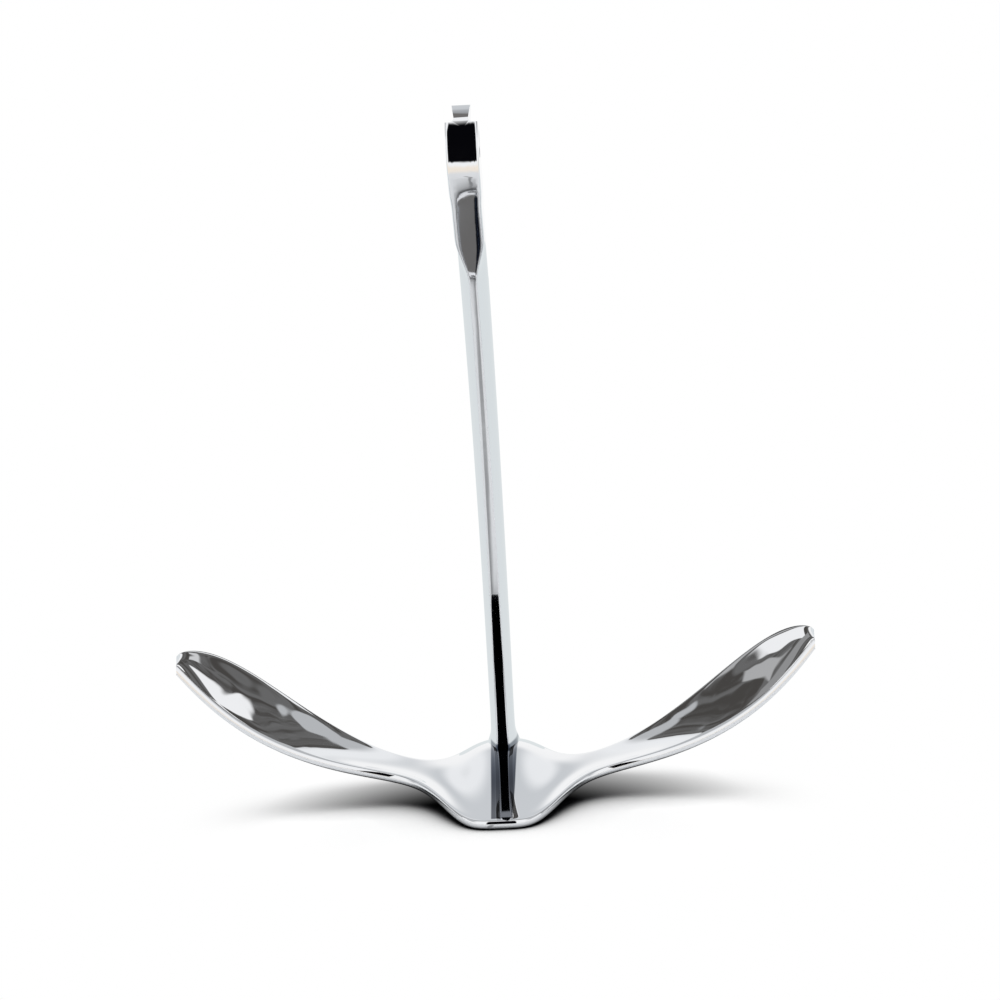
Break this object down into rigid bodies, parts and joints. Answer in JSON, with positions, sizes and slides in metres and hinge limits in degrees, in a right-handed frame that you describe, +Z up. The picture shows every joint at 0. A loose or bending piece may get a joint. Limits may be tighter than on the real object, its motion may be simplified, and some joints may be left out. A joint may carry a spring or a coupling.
{
  "type": "claw anchor",
  "caption": "Small polished steel boat anchor with a scoop-shaped three-lobed claw and an arched shank ending in a shackle eye.",
  "frame": {"origin": "on the resting plane, below the middle of the bounding box", "axes": "+X across the claw, -Y the way the centre fluke points, +Z up with the claw lying flat on its centre fluke and heel"},
  "size_m": [0.315, 0.2522, 0.352],
  "materials": {
    "polished_steel": "mirror polished stainless steel"
  },
  "bodies": {
    "root": {"claw_anchor": "polished_steel"}
  },
  "joints": []
}
